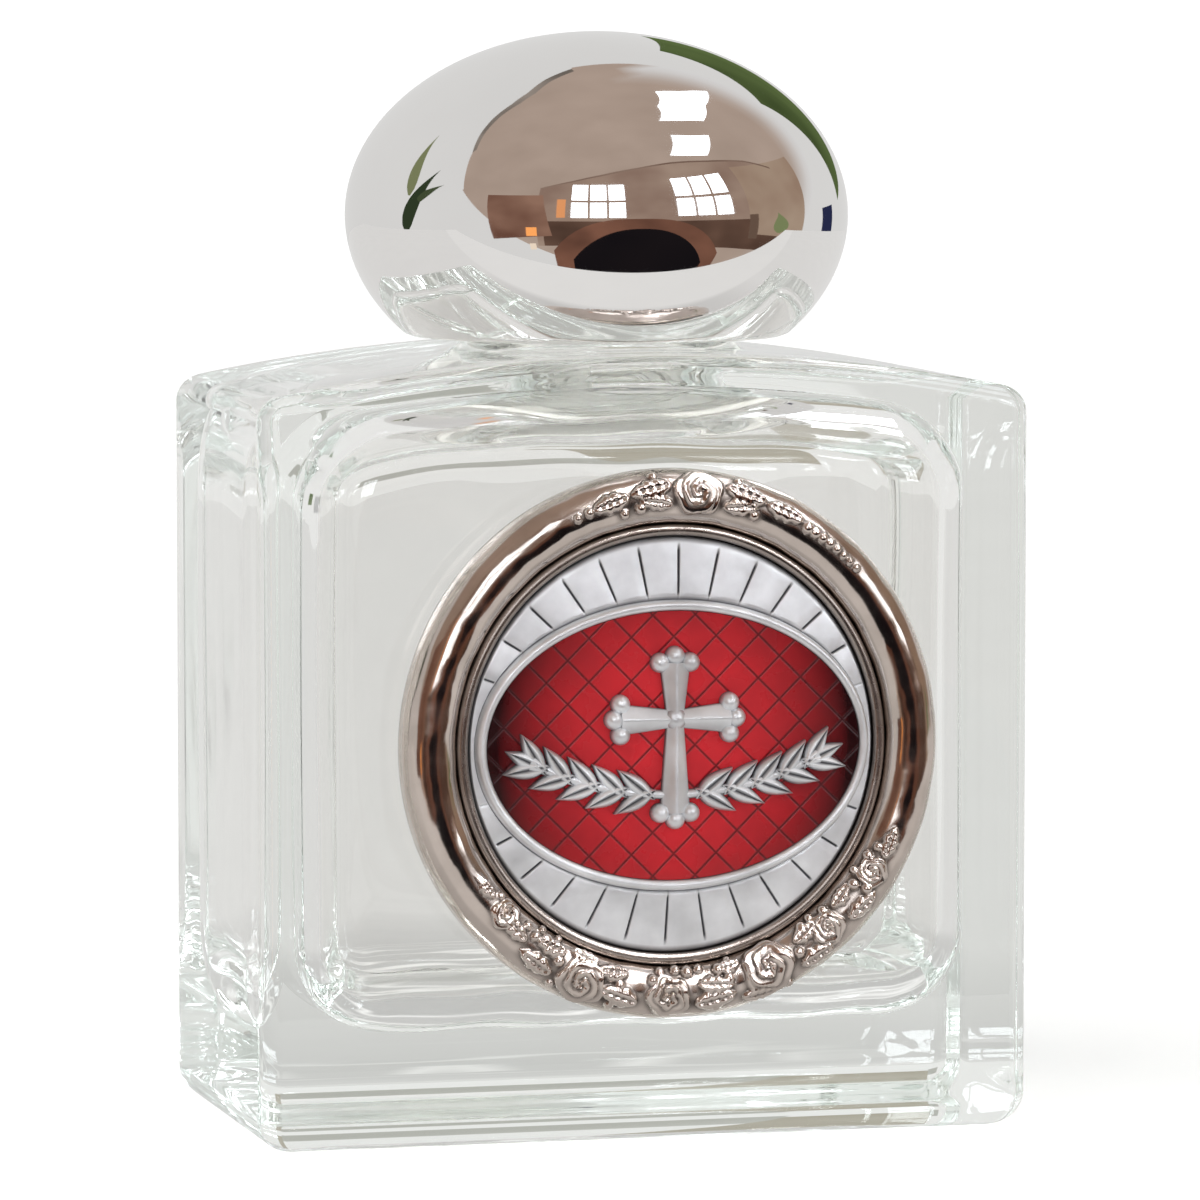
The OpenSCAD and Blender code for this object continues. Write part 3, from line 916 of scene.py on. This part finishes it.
def placed(x0, y0, degrees, mirror=1):
    c, s = heading(degrees)
    if mirror > 0:
        return lambda x, y: (x0 + x * c - y * s, y0 + x * s + y * c)
    return lambda x, y: (-(x0 + x * c + y * s), y0 + x * s - y * c)


# Levels of the mounds: length share, width share, height, and tarnish with painted shade, darkest at the
# foot of each mound and in a leaf's midrib
DOME_LEVELS = tuple(
    (math.cos(t), math.cos(t), SINK + 0.25 + 0.5 * math.sin(t), 0.6 * (1 - math.sin(t)) ** 2)
    for t in np.radians((0, 20, 40, 58, 74, 84))
)
ARM_LEVELS = ((1, 1, 0, 1), (1, 1, 0.42, 0.55), (1, 0.9, 0.5, 0.1), (1, 0.12, 0.80, 0), (1, 0, 0.82, 0))
LEAF_LEVELS = (
    (1, 1, 0, 1), (1, 1, 0.28, 0.7), (0.985, 0.86, 0.46, 0.2), (0.97, 0.6, 0.60, 0),
    (0.95, 0.34, 0.64, 0), (0.93, 0.12, 0.56, 0.6), (0.92, 0, 0.50, 0.9),
)
BOSS_LEVELS = ((1, 1, 0.3, 0.8),) + tuple(
    (math.cos(t), math.cos(t), 0.5 + 0.38 * math.sin(t), 0.5 * (1 - math.sin(t)))
    for t in np.radians((0, 25, 50, 70, 84))
)
# Width share, height, and tarnish with painted shade, darkest at the stem's foot
STEM_LEVELS = ((1, 0, 1), (1, 0.3, 0.6), (0.7, 0.45, 0.1), (0.2, 0.52, 0))


def circle(radius, count=20):
    return [(radius * math.cos(t), radius * math.sin(t)) for t in full_turn(count)]


def leaf_outline():
    shares = np.linspace(0, 1, 15)
    half = LEAF_W / 2 * np.sin(np.pi * shares ** 0.85)
    x = shares * LEAF_L - STEM_W
    return list(zip(x, -half)) + list(zip(x, half))[-2:0:-1]


def add_arm(relief, turn, reach):
    place = placed(0, CROSSING_Y, turn)
    outline = [(-LAP, -ARM_W / 2), (reach, -FLARE_W / 2), (reach, FLARE_W / 2), (-LAP, ARM_W / 2)]
    relief.mound(outline, ARM_LEVELS, place)
    bud_levels = ((1, 1, 0, 1),) + DOME_LEVELS
    for x, y in ((reach, -FLARE_W / 2), (reach, FLARE_W / 2), (reach + BUD_R * 2 / 3, 0)):
        at = place(x, y)
        relief.mound(circle(BUD_R), bud_levels, placed(*at, 0))


def add_branch(relief, mirror):
    middle_y = CROSSING_Y - SHAFT + BRANCH_LIFT + BRANCH_R
    start = -90 - math.degrees(LAP / BRANCH_R)
    steps = np.radians(np.linspace(start, BRANCH_SWEEP - 90, 26))

    def arc(radius):
        return np.column_stack([radius * np.cos(steps), middle_y + radius * np.sin(steps)])

    edge = np.vstack([arc(BRANCH_R + STEM_W / 2), arc(BRANCH_R - STEM_W / 2)[::-1]])
    spine = np.vstack([arc(BRANCH_R), arc(BRANCH_R)[::-1]])
    starts = relief.stack([
        ((spine + (edge - spine) * share) * (mirror, 1), height, shade)
        for share, height, shade in STEM_LEVELS
    ], mirror)
    count = len(edge)
    for start, order in ((starts[0], -mirror), (starts[-1], mirror)):
        for j in range(count // 2 - 1):
            quad = (start + j, start + j + 1, start + count - 2 - j, start + count - 1 - j)
            relief.faces.append(quad[::order])
    outline = leaf_outline()
    for i in range(1, LEAF_PAIRS + 1):
        t = BRANCH_SWEEP * i / LEAF_PAIRS - 90
        c, s = heading(t)
        sides = (-1, 1) if i < LEAF_PAIRS else (-1, 1, 0)
        for side in sides:
            angle = t + 90 + side * LEAF_ANGLE
            relief.mound(outline, LEAF_LEVELS, placed(BRANCH_R * c, middle_y + BRANCH_R * s, angle, mirror))


def build_emblem():
    relief = Relief()
    for turn, reach in ((0, ARM), (90, ARM), (180, ARM), (270, SHAFT)):
        add_arm(relief, turn, reach)
    relief.mound(circle(BOSS_R, 24), BOSS_LEVELS, placed(0, CROSSING_Y, 0))
    for mirror in (1, -1):
        add_branch(relief, mirror)
    return add_piece(
        "emblem_relief", on_front(relief.points), relief.faces, SILVER, "bottle", "antique_silver", "emblem",
        35, relief.shades)


# Stage: floor, what the metal and the glass mirror, lamps and camera
CAMERA_AT = (-110.57, -429.38, 67.73)
CAMERA_ALONG = (0.2489, 0.9647, -0.0865)
CAMERA_LENS = 235.6
CAMERA_AZIMUTH = -104.5
# Share of white that the floor adds for the camera, over the light that falls on it
FLOOR_LIFT = 0.22
# How bright the white surroundings are, as metal, glass and matt surfaces see them
MIRRORED_LEVEL = 0.73
THROUGH_LEVEL = 0.87
DIFFUSE_LEVEL = 0.5
MIRRORED_WHITE = (MIRRORED_LEVEL,) * 3
# How bright the sheet under the part is, close to it and away from it, and where it changes, in metres: a
# painted shadow round the part
SHEET_LEVELS = (0.46, 0.63)
SHEET_REACH = (0.025, 0.075)
# In front of the part the sheet is brighter: it fades in over these depths, in metres
SHEET_FRONT = 0.68
FRONT_REACH = (-0.028, -0.012)
# Painted streaks of light that the glass throws on the sheet, and how far they reach, in metres
STREAK_LEVEL = 0.45
STREAK_REACH = (0.020, 0.040)
# The same sheet, as surfaces inside the glass see it, glows brighter: painted light for the lamps' light
# that the glass gathers there
INSIDE_LEVEL = 7.0
# The cards of the room stand round this point, most of them this far away, in metres
ROOM_MIDDLE = Vector((0, 0, 0.05))
CARD_AT = 1.40
# Rows added between two given rows of a card, so that it keeps its distance
FINER = 8
# The room fades to white over these bearings to the right, outside this share of its radius
FADE_BEARINGS = (70, 100)
FADE_SHARE = 0.80
# Windows: columns and rows of panes, and the share of a pane that a bar takes on each side
WINDOW_GRID = (3, 2)
BAR_SHARE = 0.07
DAYLIGHT = (0.90, 0.95, 1.0)
# The windows' light in metal, and where glass, which mirrors little of them, shows them as streaks
BRIGHT = {"colour": DAYLIGHT, "strength": 3.2, "through": 12.0}
# Cards that only glass shows
BEHIND_GLASS = {"strength": 0, "through": 1.0}


def direction(azimuth, elevation):
    """A unit vector; azimuth 0 points from the part to the camera, and more is to the camera's right."""
    x, y = heading(CAMERA_AZIMUTH + azimuth)
    level, z = heading(elevation)
    return Vector((x * level, y * level, z))


def stage_mesh(name, points, faces, material):
    mesh = bpy.data.meshes.new(name)
    mesh.from_pydata([tuple(p) for p in points], [], faces)
    mesh.materials.append(material)
    made = add_object(name, mesh)
    return made


def glow_material(name, colour, vary=None, strength=1.0, through=None, fade=False):
    """Plain emission; through is its strength for rays that come out of glass, where that differs."""
    material, tree, shader = new_material(name)
    tree.nodes.remove(shader)
    glow = feed(node(tree, "Emission"), Strength=strength, Color=(*colour, 1))
    rays = node(tree, "LightPath").outputs
    if through:
        feed(glow, Strength=spread(rays["Is Transmission Ray"], strength, through, 0, 1))
    if vary:
        shown = blend(spread(noise(tree, 1.6, 2)), colour, vary)
        # Light that was mirrored twice shows plain white in the room's place
        again = maths(rays["Glossy Depth"], 1.5, "GREATER_THAN")
        shown = blend(again, shown, MIRRORED_WHITE)
        if fade:
            share = node(tree, "Attribute", attribute_name="fade").outputs["Fac"]
            shown = blend(share, shown, MIRRORED_WHITE)
        feed(glow, Color=shown)
    feed(tree.nodes["Material Output"], Surface=glow.outputs["Emission"])
    return material


def hide(made, *kinds):
    """Hides an object from rays of these kinds."""
    for kind in kinds:
        setattr(made, "visible_" + kind, False)


def show_only(made, mirrored=True, through=False):
    """Lets a card be seen in metal, through glass, or in both."""
    hide(made, "camera", "diffuse", "shadow", "volume_scatter")
    made.visible_glossy = mirrored
    made.visible_transmission = through


def add_grid(name, rows, colour, vary=None, distance=CARD_AT, strength=1.0, through=None):
    """A curved card through rows of directions, each an azimuth and an elevation seen from the cap."""
    rows = np.array(rows, dtype=float)
    place = np.linspace(0, len(rows) - 1, FINER * (len(rows) - 1) + 1)
    low = np.minimum(place.astype(int), len(rows) - 2)
    share = (place - low)[:, None, None]
    rows = rows[low] * (1 - share) + rows[low + 1] * share
    width = len(rows[0])
    points = [ROOM_MIDDLE + distance * direction(*pair) for row in rows for pair in row]
    faces = [
        (r * width + c, r * width + c + 1, (r + 1) * width + c + 1, (r + 1) * width + c)
        for r in range(len(rows) - 1)
        for c in range(width - 1)
    ]
    card = stage_mesh(name, points, faces, glow_material(name, colour, vary, strength, through))
    show_only(card, strength > 0, through is not None)


def add_pane(name, corners, *look, **levels):
    """A card between four directions, named round from the lower left."""
    low_a, low_b, high_b, high_a = np.array(corners, dtype=float)
    shares = np.linspace(0, 1, FINER + 1)[:, None]
    edges = [low_a + (low_b - low_a) * shares, high_a + (high_b - high_a) * shares]
    add_grid(name, edges, *look, **levels)


def add_card(name, azimuths, elevations, *look, **levels):
    (left, right), (low, high) = azimuths, elevations
    add_pane(name, ((left, low), (right, low), (right, high), (left, high)), *look, **levels)


def add_band(name, path, width, *look):
    """A narrow strip along a row of directions."""
    add_grid(name, [path, [(a, e + width) for a, e in path]], *look)


def add_table(name, ends, top, drop, bend, *look):
    """A card whose upper edge curves down towards both ends."""
    across = np.linspace(*ends, 23)
    middle, half = (ends[1] + ends[0]) / 2, (ends[1] - ends[0]) / 2
    edge = np.abs((across - middle) / half) ** bend
    add_grid(name, [[(a, -46) for a in across], list(zip(across, top - drop * edge))], *look)


def add_window(name, azimuths, elevations):
    """Bright panes with bars between them."""
    (left, right), (low, high) = azimuths, elevations
    columns, rows = WINDOW_GRID
    wide, tall = (right - left) / columns, (high - low) / rows
    for c in range(columns):
        for r in range(rows):
            across = (left + wide * (c + BAR_SHARE), left + wide * (c + 1 - BAR_SHARE))
            up = (low + tall * (r + BAR_SHARE), low + tall * (r + 1 - BAR_SHARE))
            add_card(f"{name}_{c}_{r}", across, up, **BRIGHT)


def add_leaf(name, path, width, colour):
    """A slender leaf that bends through three directions."""
    first, second, third = np.array(path, dtype=float)
    rows = []
    for share in np.linspace(0, 1, 9):
        spine = first * (1 - share) ** 2 + 2 * second * share * (1 - share) + third * share ** 2
        half = width / 2 * (0.25 + math.sin(math.pi * share ** 0.7)) * (1 - share ** 4)
        rows.append([spine - (half, 0), spine + (half, 0)])
    add_grid(name, rows, colour)


def add_dome(name, azimuth, elevation, half_angle, distance, colour, vary):
    """Part of a sphere round one direction: a room seen from the cap, whose right edge fades to white."""
    turn = direction(azimuth, elevation).to_track_quat("Z", "Y").to_matrix()
    angles = full_turn(72)
    shares = np.linspace(1, 0.05, 20)
    reaches = math.radians(half_angle) * shares
    profile = zip(distance * np.sin(reaches), distance * np.cos(reaches))
    points, faces = loft(turned(profile, angles) + [pole(distance)])
    aims = [turn @ Vector(p) for p in points]
    material = glow_material(name, colour, vary, fade=True)
    made = stage_mesh(name, [ROOM_MIDDLE + aim for aim in aims], faces, material)
    show_only(made)
    bearings = np.array([math.degrees(math.atan2(a.y, a.x)) - CAMERA_AZIMUTH for a in aims])
    bearings = (bearings + 180) % 360 - 180
    start, end = FADE_BEARINGS
    to_right = smooth((bearings - start) / (end - start)) * (bearings < 170)
    near_edge = smooth((np.append(np.repeat(shares, len(angles)), 0) - FADE_SHARE) / (1 - FADE_SHARE))
    made.data.attributes.new("fade", "FLOAT", "POINT").data.foreach_set("value", to_right * near_edge)


def build_room():
    add_dome("room", 31.6, 40, 82.8, 1.60, (0.46, 0.36, 0.30), (0.40, 0.31, 0.255))
    rail = [(-78, 44), (-90, 53), (-105, 60), (-122, 64.5), (-140, 65), (-158, 61), (-172, 56)]
    add_band("curtain_rail", rail, 2.4, (0.07, 0.06, 0.05), (0.36, 0.31, 0.27), 1.50)
    beyond = [(-100, 30), (-107, 38), (-118, 44), (-131, 47), (-146, 47), (-162, 44), (-178, 40)]
    outer, inner = [(-70, 20), (-90, 26)] + beyond, [(-66, 21), (-71, 33)] + rail
    add_grid("curtain_white", [outer, inner], (1, 1, 0.99), None, 1.52, MIRRORED_LEVEL)
    left = ((-48, -14), (-20, -12), (-25, 21), (-52, 19))
    add_pane("wall_left", left, (0.15, 0.07, 0.048), (0.30, 0.17, 0.12), 1.46)
    cornice = [(-27, 25.5), (-12, 32), (2, 37), (23, 42), (43, 44), (65, 41), (86, 35), (98, 27)]
    foot = [(azimuth, -20) for azimuth, _ in cornice]
    add_grid("wall_middle", [foot, cornice], (0.38, 0.28, 0.22), (0.27, 0.18, 0.14), 1.56)
    add_card("wainscot", (-24, 92), (-20, 0), (0.15, 0.085, 0.06), (0.075, 0.042, 0.03), 1.50)
    add_band("cornice", cornice, 1.1, (0.16, 0.10, 0.075), (0.26, 0.18, 0.14), 1.45)
    right = ((74, -10), (108, -12), (114, 28), (74, 35))
    add_pane("wall_right", right, (0.42, 0.32, 0.24), (0.32, 0.22, 0.16), 1.46)
    add_table("table", (-20, 60), 2, 26, 3, (0.22, 0.10, 0.065), (0.11, 0.05, 0.034))
    add_table("table_front", (-11, 53), -6, 25, 2.4, (0.004, 0.004, 0.006), (0.012, 0.009, 0.010), 0.45)
    add_window("window_left", (-12, 14), (2, 31))
    add_window("window_right", (37, 66), (3, 34))
    high = [
        [(80, 70.5), (92, 65), (103, 58.5)],
        [(114, 72), (119, 65), (125, 57)],
        [(143, 67), (141, 60), (143, 51)],
    ]
    add_grid("window_high", high, **BRIGHT)
    add_pane("window_roof", ((47, 50), (69, 45), (87, 54), (64, 62)), **BRIGHT)
    add_card("lamp_shade", (-32, -27), (-12, -5), (1.0, 0.40, 0.12), strength=1.1)
    add_card("lamp_foot", (-31, -28), (-23, -18), (0.9, 0.75, 0.6))
    add_card("curtain", (-18, -14), (3, 18), (0.80, 0.34, 0.14))
    add_card("cupboard", (74, 79), (-13, 3), (0.14, 0.09, 0.065))
    behind = ((146, 2), (178, 12), (172, 32), (146, 34))
    add_pane("leaves_behind", behind, (0.05, 0.075, 0.025), (0.12, 0.17, 0.06))
    add_leaf("leaf_low", ((-97, -9), (-93, 10), (-86, 30)), 7, (0.030, 0.045, 0.022))
    add_leaf("leaf_side", ((-96, 4), (-88, 16), (-78, 22)), 6, (0.055, 0.075, 0.035))
    add_leaf("leaf_high", ((-97, 12), (-100, 28), (-112, 42)), 6, (0.20, 0.22, 0.11))
    add_leaf("leaf_right", ((92, -9), (95, -3), (91, 3)), 8, (0.20, 0.24, 0.11))
    add_card("book", (126, 137), (-8, 2), (0.02, 0.025, 0.07))
    add_card("shelf", (171, 178.4), (5, 32), (0.36, 0.33, 0.26), (0.48, 0.45, 0.38), **BEHIND_GLASS)
    add_card("sill", (178.4, 192), (3.5, 12), (0.42, 0.42, 0.385), (0.58, 0.58, 0.55), **BEHIND_GLASS)
    add_card("plant", (-114, -99), (2, 15), (0.10, 0.15, 0.07), (0.22, 0.27, 0.16), **BEHIND_GLASS)
    add_card("curtain_side", (-90, -66), (-2, 13), (0.42,) * 3, (0.55,) * 3, **BEHIND_GLASS)


def paper_material(name, scale, light, dark, glow):
    """Matt paper; its caller adds how strongly it glows."""
    material, tree, shader = new_material(name)
    paper = blend(spread(noise(tree, scale)), light, dark)
    feed(shader, Base_Color=paper, Roughness=0.9, Specular_IOR_Level=0.0, Emission_Color=glow)
    return material, tree, shader


def floor_material():
    """A pale floor that stays near white, and keeps the shadow of what stands on it."""
    material, tree, shader = paper_material(
        "pale_floor", 40, (0.93, 0.93, 0.925), (0.90, 0.90, 0.895), (1, 1, 0.99, 1))
    seen = node(tree, "LightPath").outputs["Is Camera Ray"]
    feed(shader, Emission_Strength=maths(seen, FLOOR_LIFT))
    return material


def sheet_material():
    """The floor near the part, as metal and glass see it: bright, with a soft shadow, partly real on its
    matt share and partly painted round the part.
    """
    material, tree, shader = paper_material(
        "pale_sheet", 30, (0.30, 0.30, 0.295), (0.27, 0.27, 0.265), (1, 0.995, 0.985, 1))
    rays = node(tree, "LightPath").outputs
    length = node(tree, "VectorMath", operation="LENGTH")
    fill(length.inputs[0], own_place(tree))
    away = length.outputs["Value"]
    front = spread(own_axes(tree)["Y"], SHEET_FRONT, 0, *FRONT_REACH)
    # Painted shadow: the sheet glows less close to the part
    level = maths(spread(away, *SHEET_LEVELS, *SHEET_REACH), front, "MAXIMUM")
    ridge = maths(maths(noise(tree, 60, 2, (0.5, 2.6, 1)), 0.5, "SUBTRACT"), 0, "ABSOLUTE")
    # Painted streaks of light, seen through glass near the part
    streak = maths(spread(ridge, STREAK_LEVEL, 0, 0, 0.035), rays["Is Transmission Ray"])
    streak = maths(streak, spread(away, 1, 0, *STREAK_REACH))
    inside = maths(maths(rays["Diffuse Depth"], 0.5, "GREATER_THAN"), INSIDE_LEVEL)
    level = maths(maths(level, streak, "ADD"), inside, "MAXIMUM")
    feed(shader, Emission_Strength=level)
    return material


def floor_patch(name, half, front, back, material):
    below = -0.0002
    corners = [(-half, front, below), (half, front, below), (half, back, below), (-half, back, below)]
    return stage_mesh(name, corners, [(0, 1, 2, 3)], material)


def build_floor():
    floor = floor_patch("floor", 12, -12, 12, floor_material())
    hide(floor, "glossy", "transmission")
    sheet = floor_patch("floor_sheet", 0.4, -0.066, 0.6, sheet_material())
    hide(sheet, "camera", "diffuse", "shadow")


def build_world():
    world = bpy.data.worlds.new("studio")
    bpy.context.scene.world = world
    world.use_nodes = True
    tree = world.node_tree
    rays = node(tree, "LightPath").outputs
    level = maths(rays["Is Camera Ray"], DIFFUSE_LEVEL, "MAXIMUM")
    for kind, share in (("Is Glossy Ray", MIRRORED_LEVEL), ("Is Transmission Ray", THROUGH_LEVEL)):
        level = maths(level, maths(rays[kind], share), "MAXIMUM")
    feed(tree.nodes["Background"], Color=(1, 1, 0.99, 1), Strength=level)


def add_lamp(name, azimuth, elevation, width, strength):
    """A soft, even light from one side; width is the angle that it fills."""
    data = bpy.data.lights.new(name, "SUN")
    data.energy = strength
    data.angle = math.radians(width)
    lamp = add_object(name, data)
    lamp.rotation_euler = (-direction(azimuth, elevation)).to_track_quat("-Z", "Y").to_euler()
    hide(lamp, "glossy", "transmission")
    return lamp


def light_only(lamp, pieces):
    """Lets a lamp reach these pieces alone, which may then mirror it."""
    lamp.visible_glossy = True
    # Light that is sampled from the lamp's side passes the room's cards
    lamp.data.cycles.use_multiple_importance_sampling = False
    lit = bpy.data.collections.new(lamp.name + "_pieces")
    for piece in pieces:
        lit.objects.link(piece)
    lamp.light_linking.receiver_collection = lit


def build_lamps(silver_pieces, frame_piece):
    add_lamp("key", -35, 50, 40, 1.0)
    add_lamp("fill", 55, 35, 60, 0.5)
    add_lamp("back", 170, 45, 60, 0.5)
    # A soft sheen on the satin silver alone: polished metal would mirror this lamp as a disc
    sheen = add_lamp("sheen", 24, 1, 60, 0.43)
    sheen.data.color = (0.82, 0.91, 1.0)
    light_only(sheen, silver_pieces)
    # Glints on the cast flowers
    glint = add_lamp("glint", 50, 50, 46, 5.0)
    glint.data.color = DAYLIGHT
    light_only(glint, [frame_piece])


def build_camera():
    data = bpy.data.cameras.new("camera")
    data.sensor_width = 36.0
    data.lens = CAMERA_LENS
    data.clip_start, data.clip_end = 0.01, 20.0
    camera = add_object("camera", data)
    camera.location = Vector(CAMERA_AT) * MM
    camera.rotation_euler = Vector(CAMERA_ALONG).to_track_quat("-Z", "Y").to_euler()
    bpy.context.scene.camera = camera


SILVER = metal_material(
    "antique_silver", 0.9, (0.88, 0.885, 0.90), (0.64, 0.64, 0.65), (0.05, 0.05, 0.06),
    (0.36, 0.50), 1500, 0.01)
build_bottle()
build_cap()
build_insert()
build_liner()
build_pad()
frame_piece = build_frame()
silver_pieces = [build_plaque(), build_emblem()]
build_enamel()

build_floor()
build_room()
build_world()
build_lamps(silver_pieces, frame_piece)
build_camera()
bpy.context.scene.view_settings.view_transform = "Standard"
# Light passes many walls of glass before it leaves the bottle
for kind, count in (("max", 32), ("transmission", 32), ("glossy", 24), ("diffuse", 6)):
    setattr(bpy.context.scene.cycles, kind + "_bounces", count)
